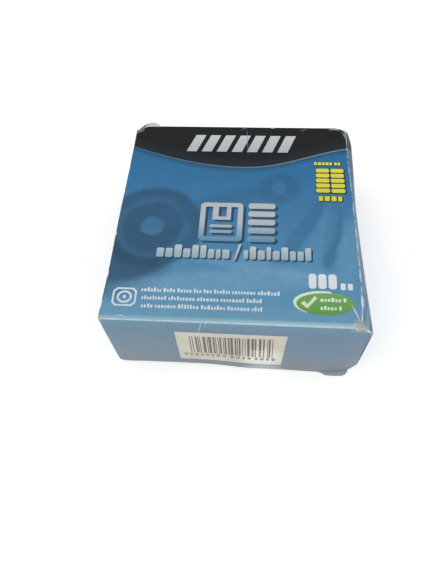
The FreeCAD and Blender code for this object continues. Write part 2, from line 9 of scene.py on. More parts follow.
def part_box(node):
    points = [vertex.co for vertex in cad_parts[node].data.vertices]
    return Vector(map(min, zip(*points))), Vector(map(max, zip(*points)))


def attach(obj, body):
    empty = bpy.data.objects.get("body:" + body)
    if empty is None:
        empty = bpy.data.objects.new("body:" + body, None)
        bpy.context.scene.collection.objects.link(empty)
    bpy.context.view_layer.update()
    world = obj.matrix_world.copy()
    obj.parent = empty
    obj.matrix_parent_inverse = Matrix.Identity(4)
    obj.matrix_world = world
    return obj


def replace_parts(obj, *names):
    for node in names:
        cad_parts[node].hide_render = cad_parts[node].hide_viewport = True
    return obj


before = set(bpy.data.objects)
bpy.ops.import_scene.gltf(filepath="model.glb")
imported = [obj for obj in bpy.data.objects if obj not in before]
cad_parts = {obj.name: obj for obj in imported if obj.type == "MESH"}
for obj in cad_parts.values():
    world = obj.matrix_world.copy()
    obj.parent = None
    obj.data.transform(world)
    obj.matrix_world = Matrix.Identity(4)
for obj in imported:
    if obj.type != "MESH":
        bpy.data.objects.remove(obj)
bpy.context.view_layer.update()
mm = 0.001
noise.seed_set(7)  # the card's waves and the wear's wander are the same each run

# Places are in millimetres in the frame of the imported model: X across the front panel,
# Y from the glued end to the tuck lid, Z up through the front panel


# the linear colour of an sRGB hex value
def toLinear(hexValue):
    parts = [int(hexValue[i:i + 2], 16) / 255 for i in (1, 3, 5)]
    return [p / 12.92 if p <= 0.04045 else ((p + 0.055) / 1.055) ** 2.4 for p in parts] + [1]


# adds a node and returns one of its outputs; its kind can end in an operation, and its inputs, in
# the node's order or by name, are fixed values, hex colours and outputs to link from
def addNode(tree, kind, inputs=(), output=0, stops=(), **settings):
    kind, *operation = kind.split()
    node = tree.nodes.new("ShaderNode" + kind)
    if operation:
        node.operation = operation[0]
    for name, value in settings.items():
        setattr(node, name, value)
    for key, value in inputs.items() if isinstance(inputs, dict) else enumerate(inputs):
        if isinstance(value, bpy.types.NodeSocket):
            tree.links.new(value, node.inputs[key])
        else:
            node.inputs[key].default_value = toLinear(value) if isinstance(value, str) else value
    for i, (place, colour) in enumerate(stops):
        element = node.color_ramp.elements[i] if i < 2 else node.color_ramp.elements.new(place)
        element.position = place
        element.color = toLinear(colour)
    return node.outputs[output] if len(node.outputs) else node


# settings of a range that eases in and out, and of a mix of two colours
smooth = {"interpolation_type": "SMOOTHSTEP"}
mixColours = {"output": 2, "data_type": "RGBA"}


# a material with the surface that makeSurface adds, which gets addNode for its tree and the place
def makeMaterial(makeSurface, name, *values, **options):
    material = bpy.data.materials.new(name)
    material.use_nodes = True
    material.node_tree.nodes.clear()
    add = partial(addNode, material.node_tree)
    here = add("TexCoord", output="Object")
    add("OutputMaterial", [makeSurface(add, here, *values, **options)])
    return material


def addObject(name, data):
    thing = bpy.data.objects.new(name, data)
    bpy.context.scene.collection.objects.link(thing)
    return thing


def blend(low, high, share):
    return low + (high - low) * share


# smooth 0 to 1 as value goes from low to high
def ease(value, low, high):
    share = min(max((value - low) / (high - low), 0), 1)
    return share * share * (3 - 2 * share)


# the lesser of two values, rounded where they cross
def softMin(a, b, width):
    share = max(width - abs(a - b), 0) / width
    return min(a, b) - share * share * width / 4


# the camera stands at the photograph's angle
cameraView = {
    "place": (8.8, -139.9, 218),
    "aim": (-7.4, -33.9, 38),
    "rollDegrees": -5.56,
    "lens": 35.25,
    "sensor": 36,
}


def makeCamera():
    data = bpy.data.cameras.new("camera")
    data.lens = cameraView["lens"]
    data.sensor_width = cameraView["sensor"]
    data.clip_start = 0.01
    camera = addObject("camera", data)
    place = Vector(cameraView["place"]) * mm
    ahead = (Vector(cameraView["aim"]) * mm - place).normalized()
    level = ahead.cross(Vector((0, 0, 1))).normalized()
    rise = level.cross(ahead)
    roll = math.radians(cameraView["rollDegrees"])
    across = level * math.cos(roll) + rise * math.sin(roll)
    upward = rise * math.cos(roll) - level * math.sin(roll)
    camera.matrix_world = Matrix.Translation(place) @ Matrix((across, upward, -ahead)).transposed().to_4x4()
    bpy.context.scene.camera = camera


makeCamera()
print("camera is at the photograph's angle")

# the carton's worn shape: the plain carton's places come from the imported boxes
lidLow, lidHigh = [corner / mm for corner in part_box("lid_flap")]
cartonLow, cartonHigh = [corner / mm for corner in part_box("carton")]
lidSideGap, lipOut = 0.3, 1.6  # between the lid and a wall, and of the base past the glued end

carton = {
    "left": lidLow.x - lidSideGap,
    "right": lidHigh.x + lidSideGap,
    "near": cartonLow.y + lipOut,
    "far": lidHigh.y,
    "top": cartonHigh.z,
    "card": 0.5,
    "fold": 0.5,  # radius outside the creases
    "frontEnd": 49.7,  # cut edge of the front panel over the lid's fold
    "sleeveEnd": 49.15,
    "backEnd": 49.2,
}
left, right, near, far, top, card = [carton[key] for key in ("left", "right", "near", "far", "top", "card")]

wornShape = {
    "shoulderDrop": 3.6,  # below the front panel
    "shoulderOut": (2, 4.9),  # of the right wall, away from the crushed corner and at it
    "footOut": (0.9, 3.5),
    "footHeight": (3, 4.8),
    "bend": (1, 0.5),  # rounding of the shoulder
    "crushStart": 11,  # y where the side starts to lean out
    "crushPower": 1.25,
    "lidFade": (43, 50.5, 0.5),  # from y to y the shoulder loses this share
    "lean": [(-12, 8, 1.05), (15, 35, 0.35)],  # foot of the glued end: from x, to x, how far out
    "leanFade": (38, 45, 0.8),
    "leanTop": 25,
    "reach": 14,  # how far in from the right side the other panels follow it
    "leftReach": 3,
    "waveLength": 34,
    "wave": 0.16,
    "blister": (-42.6, -46.5, 0.32),  # x, y and height
}
# how far the long folds of the front have moved out: from y, to y, how far
foldSteps = {
    "right": [(25, -36, 1.1), (-38, near, -0.825), (8, 38, -0.8)],
    "left": [(30, -10, 0.5), (-20, -48, 0.6)],
}


def steps(places, value):
    return sum(out * ease(value, start, end) for start, end, out in places)


# how far the right wall stands out
def sideOut(y, z):
    start = wornShape["crushStart"]
    crush = min(max((start - y) / (start - near), 0), 1) ** wornShape["crushPower"]
    shoulder, foot, rise, bend = [
        blend(*wornShape[key], crush) for key in ("shoulderOut", "footOut", "footHeight", "bend")
    ]
    fadeStart, fadeEnd, fade = wornShape["lidFade"]
    shoulder *= 1 - fade * ease(y, fadeStart, fadeEnd)
    drop, fold = wornShape["shoulderDrop"], steps(foldSteps["right"], y)
    upper = fold + (top - z) / drop * (shoulder - fold)
    middle = foot + (z - rise) / (top - drop - rise) * (shoulder - foot)
    lower = z / rise * foot
    return max(softMin(softMin(upper, middle, bend), lower, 0.8 * foot), min(fold, 0))


# moves a point of the plain carton to where the worn one has it
def settle(point):
    x, y, z = point
    followRight = min(max((x - right) / wornShape["reach"] + 1, 0), 1)
    followLeft = min(max((left - x) / wornShape["leftReach"] + 1, 0), 1)
    leftOut = steps(foldSteps["left"], y) * max(z / top, 0) ** 0.6 * followLeft
    fadeStart, fadeEnd, fade = wornShape["leanFade"]
    lean = steps(wornShape["lean"], x) * (1 - fade * ease(x, fadeStart, fadeEnd))
    lean *= max(1 - z / wornShape["leanTop"], 0) * ease(y, near + 10, near)
    place = Vector((x + sideOut(y, z) * followRight - leftOut, y - lean, z))
    # the front's top layer has lifted in a small blister by the near left corner
    blisterX, blisterY, height = wornShape["blister"]
    place.z += height * math.exp(-((x - blisterX) / 2.4) ** 2 - ((y - blisterY) / 0.9) ** 2) * (z > top - 1)
    wave = noise.noise_vector(Vector(point) / wornShape["waveLength"] + Vector((3.1, 7.7, 1.3)))
    return place + wave * wornShape["wave"] * min(1, z / 4)


# rounds the folds between the panels; the lid's end is open
def roundFolds(point):
    fold = carton["fold"]
    x, y, z = point
    inner = Vector((
        min(max(x, left + fold), right - fold),
        max(y, near + fold),
        min(max(z, fold), top - fold),
    ))
    out = Vector(point) - inner
    return inner + out.normalized() * fold if out.length > 1e-9 else inner


def onCarton(x, y, z):
    return settle(roundFolds((x, y, z)))


def onFront(x, y):
    return onCarton(x, y, top)


def onEnd(x, z):
    return onCarton(x, near, z)


# materials of the carton
headerCurve = {"middleX": 0.6, "lowest": 26.3, "left": (16.67, 0.025), "right": (6.13, 0.06)}  # rise, turn
printColours = {
    "header": "#0f1315",
    "headerLow": "#1b242b",
    "line": "#8296a1",
    "shadow": "#234a6b",
    "endPanel": [(0, "#8b939c"), (0.35, "#7b90a1"), (0.8, "#6d8aa2"), (1, "#6f93ad")],
    "blue": [
        (0, "#6d9cb8"), (0.12, "#5d92b5"), (0.3, "#5189b0"),
        (0.55, "#437ca8"), (0.8, "#3173a2"), (1, "#1f6c9c"),
    ],
}
# colours of wear, with a painted glare under the label and painted shade along the left fold
wornColours = {
    "underLabel": "#c9ced8",
    "nearFold": "#b0cfd8",
    "sideStreaks": [(0.34, "#47606e"), (0.52, "#69869a"), (0.66, "#a9bcc6")],
    "leftFold": "#45555f",
    "folds": "#cfe2ea",
}
# soft forms of the picture: middle x and y, half sizes, turn in degrees, edge softness, colour, strength
softForms = [
    (36, -7, 3.2, 18, -9, 0.22, "#2f6188", 0.5),
    (23, -9, 3, 26, -30, 0.3, "#35698f", 0.5),
    (31, -12, 4, 20, -20, 0.5, "#5f96b9", 0.4),
    (43, -14, 4.5, 16, -9, 0.5, "#6a9dbe", 0.5),
    (-46, -20, 20, 17, 24, 0.3, "#264a66", 0.8),
    (-35, -6, 20, 20, 0, 0.07, "#294d69", 0.72),
    (-35, -6, 15, 15, 0, 0.09, "#3f7095", 0.5),
    (-35, -6, 12.2, 12.2, 0, 0.1, "#2b5270", 0.6),
    (-35, -6, 4.6, 4.6, 0, 0.2, "#4b80a6", 0.7),
    (15, 15, 8.2, 8.2, 0, 0.14, "#2c5d83", 0.42),
    (15, 15, 3, 3, 0, 0.3, "#4f86ad", 0.6),
    (-10, 6, 30, 5, 22, 0.55, "#2f6086", 0.45),
    (-6, -31, 40, 5, 5, 0.35, "#77a5c4", 0.5),
    (4, -23, 22, 3.2, -9, 0.5, "#7fabc8", 0.35),
]
# corners rubbed down to the bare fibre: place, reach, colour, strength
bareCorners = [
    ((right + 0.2, near, top), 3, "#b2b8bb", 0.75),
    ((right + 4.6, near - 0.2, top - 3.8), 1.2, "#a9a3a2", 0.7),
    ((right + 0.1, near - 0.2, top), 2.1, "#e2dad4", 0.9),
    ((right - 0.3, near, top - 0.1), 0.65, "#bb9f8b", 0.8),
    ((left, near, top), 1.1, "#b9b6ae", 0.9),
    ((right - 0.4, far - 1.2, top), 1.5, "#9da1a4", 0.8),
    ((left + 2.4, far - 2.6, top), 1, "#8d8d90", 0.6),
]


# the header, whose lower edge is a curve with a thin line and a soft shadow, and its share at a point
def headerLayers(add, atX, atY):
    fromMiddle = add("Math SUBTRACT", [atX, headerCurve["middleX"]])
    edge = headerCurve["lowest"]
    for side, clip in (("left", "MINIMUM"), ("right", "MAXIMUM")):
        rise, turn = headerCurve[side]
        part = add("Math", [fromMiddle, 0], operation=clip)
        turned = add("Math MULTIPLY", [part, turn])
        cosine = add("Math COSINE", [turned])
        lift = add("Math MULTIPLY_ADD", [cosine, -rise, rise])
        edge = add("Math ADD", [edge, lift])
    below = add("Math SUBTRACT", [edge, atY])
    shadow = add("MapRange", [below, 0.3, 4, 0.75, 0], **smooth)
    inHeader = add("MapRange", [below, 0.08, -0.08])
    deep = add("MapRange", [below, -7, -1], **smooth)
    header = add("Mix", {0: deep, 6: printColours["header"], 7: printColours["headerLow"]}, **mixColours)
    fromLine = add("Math SUBTRACT", [below, 0.25])
    fromLine = add("Math ABSOLUTE", [fromLine])
    line = add("MapRange", [fromLine, 0.2, 0.42, 1, 0])
    lineStrength = add("MapRange", [atX, -49, 40, 0.15, 0.8])
    line = add("Math MULTIPLY", [line, lineStrength])
    return [(shadow, printColours["shadow"]), (inHeader, header), (line, printColours["line"])], inHeader


# the share of a soft spot: full up to one distance from its middle and none past the other
def softSpot(add, here, middle, sizes, turn, full, none, strength):
    local = add("Mapping", {
        "Vector": here, "Location": middle, "Rotation": (0, 0, math.radians(turn)), "Scale": sizes,
    }, vector_type="TEXTURE")
    distance = add("VectorMath LENGTH", [local], output="Value")
    return add("MapRange", [distance, full, none, strength, 0], **smooth)


# what is printed over the blue, and a painted glare under the label, from the lowest layer up: share and
# colour
def printLayers(add, here, atX, atY, atZ):
    layers = []
    # the picture's soft forms have slightly uneven edges
    drift = add("TexNoise", {"Vector": here, "Scale": 0.12, "Detail": 2}, output="Color")
    drift = add("VectorMath SUBTRACT", [drift, (0.5, 0.5, 0.5)])
    drift = add("VectorMath SCALE", {0: drift, "Scale": 2.5})
    drifted = add("VectorMath ADD", [here, drift])
    for x, y, halfX, halfY, turn, soft, hexValue, strength in softForms:
        sizes = (halfX, halfY, 3)
        share = softSpot(add, drifted, (x, y, top), sizes, turn, 1 - soft, 1 + soft, strength)
        layers.append((share, hexValue))
    header, inHeader = headerLayers(add, atX, atY)
    # the glued end is a greyer blue, greyest towards the bottom
    height = add("MapRange", [atZ, 0, top])
    endColour = add("ValToRGB", [height], stops=printColours["endPanel"])
    onGluedEnd = add("MapRange", [atY, near + 0.5, near + 0.25])
    # a painted glare makes a pale patch under the label
    patch = softSpot(add, here, (11, near, 1.6), (10, 4, 3.6), 0, 0.4, 1, 0.7)
    return layers + header + [(onGluedEnd, endColour), (patch, wornColours["underLabel"])], inHeader


# what handling has done to the print, and painted shade along the left fold, from the lowest layer up: share
# and colour
def wearLayers(add, here, atX, atY, atZ, inHeader):
    # beside the near fold the print has gone pale, most of all towards the crushed corner
    paler = add("MapRange", [atX, -25, 25, 0.42, 0.66])
    nearFold = add("MapRange", [atY, near + 2.3, near + 0.8, 0, paler], **smooth)
    atTop = add("MapRange", [atZ, top - 0.9, top - 0.4])
    nearFold = add("Math MULTIPLY", [nearFold, atTop])
    # X as it was before the two long folds moved
    foldX = {"right": atX, "left": atX}
    for side, sign in (("right", -1), ("left", 1)):
        for start, end, out in foldSteps[side]:
            shift = add("MapRange", [atY, start, end, 0, sign * out], **smooth)
            foldX[side] = add("Math ADD", [foldX[side], shift])
    # the crushed side's upper strip is grey in streaks, darker towards the far end
    strip = add("MapRange", [foldX["right"], right + 0.1, right + 0.5])
    streaks = add("Mapping", {"Vector": here, "Scale": (1.3, 0.07, 1.3)})
    streaks = add("TexNoise", {"Vector": streaks, "Scale": 1, "Detail": 3, "Roughness": 0.6})
    streaks = add("ValToRGB", [streaks], stops=wornColours["sideStreaks"])
    darker = add("MapRange", [atY, -22, 12, 1, 0.5])
    streaks = add("VectorMath SCALE", {0: streaks, "Scale": darker})
    upper = add("MapRange", [atZ, top - 4.6, top - 3.2, 0, 0.7])
    blueOnly = add("Math SUBTRACT", [1, inHeader])
    for factor in (upper, blueOnly):
        strip = add("Math MULTIPLY", [strip, factor])
    # painted shade: the print darkens along the left fold, where the wall turns away from the light
    fromLeft = add("MapRange", [foldX["left"], left + 0.75, left + 0.3, 0, 0.55])
    # rubbed folds: the distance from each fold's line, made uneven
    wearNoise = add("TexNoise", {"Vector": here, "Scale": 0.55, "Detail": 5, "Roughness": 0.65})
    wear = 0
    for first, second, width, bias in (
        ((atY, near), (atZ, top), 0.5, 0.16),
        ((foldX["right"], right), (atZ, top), 0.5, 0),
        ((foldX["left"], left), (atZ, top), 0.38, -0.04),
        ((atX, left), (atY, near), 0.4, -0.14),
    ):
        squares = []
        for axis, spot in (first, second):
            offset = add("Math SUBTRACT", [axis, spot])
            squares.append(add("Math POWER", [offset, 2]))
        total = add("Math ADD", squares)
        distance = add("Math SQRT", [total])
        reach = add("MapRange", [wearNoise, 0.5 - bias - 0.12, 0.5 - bias + 0.12, 0, width])
        rubbed = add("Math SUBTRACT", [reach, distance])
        rubbed = add("MapRange", [rubbed, -0.1, 0.35])
        wear = add("Math MAXIMUM", [wear, rubbed])
    wear = add("Math MULTIPLY", [wear, 0.85])
    layers = [
        (nearFold, wornColours["nearFold"]), (strip, streaks),
        (fromLeft, wornColours["leftFold"]), (wear, wornColours["folds"]),
    ]
    ragged = add("TexNoise", {"Vector": here, "Scale": 1.3, "Detail": 4, "Roughness": 0.7})
    for place, reach, hexValue, strength in bareCorners:
        distance = add("VectorMath DISTANCE", [here, place], output="Value")
        edge = add("MapRange", [ragged, 0.35, 0.65, 0.4 * reach, 1.4 * reach])
        bare = add("Math SUBTRACT", [edge, distance])
        bare = add("MapRange", [bare, -0.3 * reach, 0.3 * reach, 0, strength])
        layers.append((bare, hexValue))
    return layers


# folding boxboard, offset printed and varnished: flat ink colours under a soft satin shine,
# with the grey-white board showing where folds and corners have rubbed through,
# a painted glare under the label and painted shade along the left fold
def printedBoardSurface(add, here):
    here = add("VectorMath SCALE", {0: here, "Scale": 1000})
    atX, atY, atZ = add("SeparateXYZ", [here]).node.outputs
    # blue of the panels, paler towards the glued end
    along = add("MapRange", [atY, -48, 38])
    colour = add("ValToRGB", [along], stops=printColours["blue"])
    printed, inHeader = printLayers(add, here, atX, atY, atZ)
    for share, over in printed:
        colour = add("Mix", {0: share, 6: colour, 7: over}, **mixColours)
    # handling has mottled the ink a little
    mottle = add("TexNoise", {"Vector": here, "Scale": 0.35, "Detail": 4, "Roughness": 0.6})
    mottle = add("MapRange", [mottle, 0.3, 0.7, 0.94, 1.06])
    colour = add("VectorMath SCALE", {0: colour, "Scale": mottle})
    for share, over in wearLayers(add, here, atX, atY, atZ, inHeader):
        colour = add("Mix", {0: share, 6: colour, 7: over}, **mixColours)
    # satin varnish over a faint board grain, drawn at 0.5 mm because the real 0.1 mm doesn't show
    grain = add("TexNoise", {"Vector": here, "Scale": 2, "Detail": 3})
    bump = add("Bump", {"Height": grain, "Strength": 0.12, "Distance": 0.00008})
    gloss = add("MapRange", [mottle, 0.94, 1.06, 0.38, 0.5])
    return add("BsdfPrincipled", {
        "Base Color": colour, "Roughness": gloss, "IOR": 1.45, "Specular IOR Level": 0.25, "Normal": bump,
    })


# the uncoated inside of folding boxboard: a warm grey-white with darker fibres
def bareBoardSurface(add, here):
    # fibres about 0.4 mm long
    fibres = add("TexNoise", {"Vector": here, "Scale": 2500, "Detail": 3, "Roughness": 0.7})
    colour = add("ValToRGB", [fibres], stops=[(0.3, "#9a968f"), (0.7, "#c4c1ba")])
    bump = add("Bump", {"Height": fibres, "Strength": 0.3, "Distance": 0.0001})
    return add("BsdfPrincipled", {"Base Color": colour, "Roughness": 0.9, "IOR": 1.45, "Normal": bump})


# a torn layer of board: pale fibre, darker grey towards its left side
def peeledBoardSurface(add, here):
    # fibres torn out in strips about 1 mm wide
    strips = add("TexNoise", {"Vector": here, "Scale": 900, "Detail": 4, "Roughness": 0.7})
    atX = add("SeparateXYZ", [here], output="X")
    side = add("MapRange", [atX, -0.0455, -0.0440])
    grey = add("ValToRGB", [strips], stops=[(0.35, "#5c5c60"), (0.65, "#9a9aa0")])
    pale = add("ValToRGB", [strips], stops=[(0.3, "#8f8f8f"), (0.5, "#d0d0ce")])
    colour = add("Mix", {0: side, 6: grey, 7: pale}, **mixColours)
    bump = add("Bump", {"Height": strips, "Strength": 0.5, "Distance": 0.0002})
    return add("BsdfPrincipled", {"Base Color": colour, "Roughness": 0.9, "Normal": bump})


# a printed ink, slightly broken up by handling: one colour, or one that shades into another
# over a span along Y
def inkSurface(add, here, hexValue, farHex=None, span=(0, 1), roughness=0.42, speckle=0.12):
    atY = add("SeparateXYZ", [here], output="Y")
    along = add("MapRange", [atY, span[0] * mm, span[1] * mm])
    colour = add("ValToRGB", [along], stops=[(0, hexValue), (1, farHex or hexValue)])
    # rubbing takes the ink off in spots of about 0.6 mm
    spots = add("TexNoise", {"Vector": here, "Scale": 1600, "Detail": 3, "Roughness": 0.6})
    shade = add("MapRange", [spots, 0.3, 0.7, 1 - speckle, 1 + speckle])
    colour = add("VectorMath SCALE", {0: colour, "Scale": shade})
    return add("BsdfPrincipled", {
        "Base Color": colour, "Roughness": roughness, "IOR": 1.45, "Specular IOR Level": 0.25,
    })


makeInk = partial(makeMaterial, inkSurface)
printedBoard = makeMaterial(printedBoardSurface, "varnishedPrintedBoard")
bareBoard = makeMaterial(bareBoardSurface, "uncoatedGreyBoard")
board = [printedBoard, bareBoard]
print("the carton's materials are made")


# places of the cuts across a sheet, close together at its folds
def cutPlaces(low, high, step, closeLow=True, closeHigh=True):
    fold = carton["fold"]
    count = round((high - low) / step)
    places = [low + (high - low) * i / count for i in range(count + 1)]
    places = [p for p in places if not (closeLow and p < low + fold) and not (closeHigh and p > high - fold)]
    if closeLow:
        places += [low + fold * i / 4 for i in range(5)] + [low + 1.6 * fold]
    if closeHigh:
        places += [high - fold * i / 4 for i in range(5)] + [high - 1.6 * fold]
    return sorted(places)


# a sheet cut to outlines (u, v), divided by the cuts, laid out by place(u, v) and given a thickness
def cutSheet(name, outlines, uCuts, vCuts, place, outside, thickness=card, materials=board,
             body="pack", slot="printed_card", bareRim=True):
    sheet = bmesh.new()
    for outline in outlines:
        sheet.faces.new([sheet.verts.new((u, v, 0)) for u, v in outline])
    for axis, cuts in ((Vector((1, 0, 0)), uCuts), (Vector((0, 1, 0)), vCuts)):
        for cut in cuts:
            everything = sheet.verts[:] + sheet.edges[:] + sheet.faces[:]
            bmesh.ops.bisect_plane(sheet, geom=everything, dist=1e-5, plane_co=axis * cut, plane_no=axis)
    bmesh.ops.remove_doubles(sheet, verts=sheet.verts[:], dist=1e-4)
    for vert in sheet.verts:
        vert.co = Vector(place(vert.co.x, vert.co.y)) * mm
    bmesh.ops.recalc_face_normals(sheet, faces=sheet.faces)
    sheet.normal_update()
    if sum(face.normal.dot(Vector(outside)) * face.calc_area() for face in sheet.faces) < 0:
        bmesh.ops.reverse_faces(sheet, faces=sheet.faces)
    mesh = bpy.data.meshes.new(name)
    sheet.to_mesh(mesh)
    sheet.free()
    return finishSheet(name, mesh, thickness, materials, body, bareRim)


# gives a sheet its thickness, its materials and its body
def finishSheet(name, mesh, thickness, materials, body="pack", bareRim=True):
    piece = addObject(name, mesh)
    for material in materials:
        mesh.materials.append(material)
    mesh.polygons.foreach_set("use_smooth", [True] * len(mesh.polygons))
    solid = piece.modifiers.new("thickness", "SOLIDIFY")
    solid.thickness = thickness * mm
    solid.offset = -1
    solid.use_even_offset = True
    solid.use_quality_normals = True
    solid.material_offset = len(materials) - 1
    solid.material_offset_rim = len(materials) - 1 if bareRim else 0
    depsgraph = bpy.context.evaluated_depsgraph_get()
    thick = bpy.data.meshes.new_from_object(piece.evaluated_get(depsgraph))
    piece.modifiers.clear()
    piece.data = thick
    thick.set_sharp_from_angle(angle=math.radians(50))
    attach(piece, body)
    return piece


def rectangle(lowU, highU, lowV, highV):
    return [(lowU, lowV), (highU, lowV), (highU, highV), (lowU, highV)]


def makeSleeve():
    sleeveEnd, frontEnd, backEnd = carton["sleeveEnd"], carton["frontEnd"], carton["backEnd"]
    acrossCuts = cutPlaces(left, right, 2.4)
    alongCuts = cutPlaces(near, sleeveEnd, 2.4, closeHigh=False)
    upCuts = cutPlaces(0, top, 2)
    rightCuts = sorted(upCuts + [top - 1.5, top - 2.6, top - 3.3, top - 3.6, top - 4, 2.6, 3.4])
    blisterX, blisterY, _ = wornShape["blister"]
    blisterAcross = [blisterX + step for step in (-3.2, -2.2, -1.2, -0.4, 0.4, 1.2, 2.2, 3.2)]
    blisterAlong = [blisterY + step for step in (-0.8, -0.4, 0, 0.4, 0.8, 1.4)]
    # the front panel's far corners have worn round
    frontOutline = [
        (left, near), (right, near), (right, 45.6), (right - 0.3, 47.2), (right - 1, 48.4),
        (right - 2.4, 49.2), (right - 5, frontEnd), (left + 6.8, frontEnd), (left + 4.5, 49.3),
        (left + 3.5, 48.4), (left + 1.4, 46), (left + 0.8, 45.3), (left + 0.3, 44.4), (left, 43.3),
    ]
    backOutline = [
        (left + 3.2, near + 0.3), (right, near + 0.3), (right, backEnd), (left, backEnd), (left, near + 1.8),
    ]
    wallOutline = [
        (near + 1.8, 0), (sleeveEnd, 0), (sleeveEnd, top - 2.6), (sleeveEnd - 0.8, top - 0.9),
        (sleeveEnd - 2.8, top), (near, top), (near, 1.6),
    ]
    endOutline = [
        (left, 2.2), (left + 0.9, 1), (left + 2.4, 0.4), (left + 5, 0.35), (-34, 0.9), (-25, 1.2),
        (-16, 0.8), (-5, 0.2), (right, 0.15), (right, top), (left, top),
    ]
    for name, outline, uCuts, vCuts, place, outside, bareRim in (
        ("front_panel", frontOutline, acrossCuts + blisterAcross, alongCuts + blisterAlong + [45.5, 47.5],
         onFront, (0, 0, 1), True),
        ("back_panel", backOutline, acrossCuts, alongCuts, lambda x, y: onCarton(x, y, 0), (0, 0, -1), True),
        ("left_wall", wallOutline, alongCuts, upCuts, partial(onCarton, left), (-1, 0, 0), False),
        ("right_wall", wallOutline, alongCuts, rightCuts, partial(onCarton, right), (1, 0, 0), False),
        ("glued_end", endOutline, acrossCuts, rightCuts, onEnd, (0, -1, 0), True),
    ):
        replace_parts(cutSheet(name, [outline], uCuts, vCuts, place, outside, bareRim=bareRim), "carton")


makeSleeve()
print("the sleeve's panels are made")

lid = {
    "low": 0.05,
    "top": 37.4,
    "fold": 0.5,
    "tabLength": 12,
    "tabDrop": 2,
    "tabSideGap": 1.7,
    "tabTaper": 1,  # the tab is narrower than its crease by this on the right
    "tabCorner": 8,
    "wornCorner": 2.2,
}


# the lid's outer face at a distance v from the hinge: up the panel, round its fold and down the tab
def onLid(x, v):
    fold = lid["fold"]
    straight = lid["top"] - fold - lid["low"]
    turn = math.pi / 2 + math.atan2(lid["tabDrop"], lid["tabLength"])
    if v <= straight:
        return settle((x, far, lid["low"] + v))
    angle = min((v - straight) / fold, turn)
    rest = max(v - straight - turn * fold, 0)
    y = far + fold * (math.cos(angle) - 1) - rest * math.sin(turn)
    z = lid["top"] + fold * (math.sin(angle) - 1) + rest * math.cos(turn)
    return settle((x, y, z))


def makeLid():
    fold, corner, worn = lid["fold"], lid["tabCorner"], lid["wornCorner"]
    lowX, highX = left + lidSideGap, right - lidSideGap
    tabLow, tabHigh = left + lid["tabSideGap"], right - lid["tabSideGap"] - lid["tabTaper"]
    straight = lid["top"] - fold - lid["low"]
    crease = straight + fold * 0.9
    end = straight + lid["tabLength"] + 0.5
    quarter = [math.radians(15 * i) for i in range(7)]
    outline = [
        (lowX, 0), (highX, 0), (highX, crease - worn), (highX - 0.3 * worn, crease - 0.3 * worn),
        (highX - worn, crease), (tabHigh, crease + 0.4), (tabHigh, end - corner),
    ]
    outline += [(tabHigh - corner * (1 - math.cos(a)), end - corner * (1 - math.sin(a))) for a in quarter[1:]]
    outline += [(tabLow + corner * (1 - math.sin(a)), end - corner * (1 - math.cos(a))) for a in quarter]
    outline += [
        (tabLow, crease + 0.4), (lowX + worn, crease),
        (lowX + 0.3 * worn, crease - 0.3 * worn), (lowX, crease - worn),
    ]
    upCuts = cutPlaces(0, straight, 3, False, False)
    upCuts += [straight + fold * i * 0.3 for i in range(7)] + [straight + 4, straight + 8]
    piece = cutSheet("tuck_lid", [outline], cutPlaces(lowX, highX, 3, False, False), upCuts, onLid,
                     (0, 1, 0.3), body="lid")
    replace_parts(piece, "lid_flap")


# the peeled layer lies just under the print and curls up a little at its edge
def onPly(x, y):
    curl = ease(y, 48, 52) * 0.35 * ease(x, -49, -45)
    return settle((x, y, top - 0.12)) + Vector((0, 0, curl))


flaps = {
    "dust": (38, 1.2, 35.4, 4),  # reach, foot, top and taper
    "bow": 0.45,
    "seamWidth": 12,
    # a layer of the base stands out under the crushed corner
    "lip": [
        (30.5, -46), (30.5, -49), (33.4, -49.5), (35, -50.1), (36.2, -50.85), (40.2, -50.95),
        (43, -50.8), (44.4, -50), (45.2, -48.9), (45.3, -47.8), (44.4, -47.2), (44.4, -46),
    ],
    # the front panel's far left corner has peeled back to the bare layer under it
    "peeled": [
        (-48.5, 43), (-48.5, 46.7), (-47.3, 48.7), (-45.6, 50.5), (-43.8, 51.6), (-42.4, 51.9),
        (-40.3, 51.5), (-39, 50.5), (-37.7, 49.5), (-38.2, 47), (-44, 44),
    ],
}


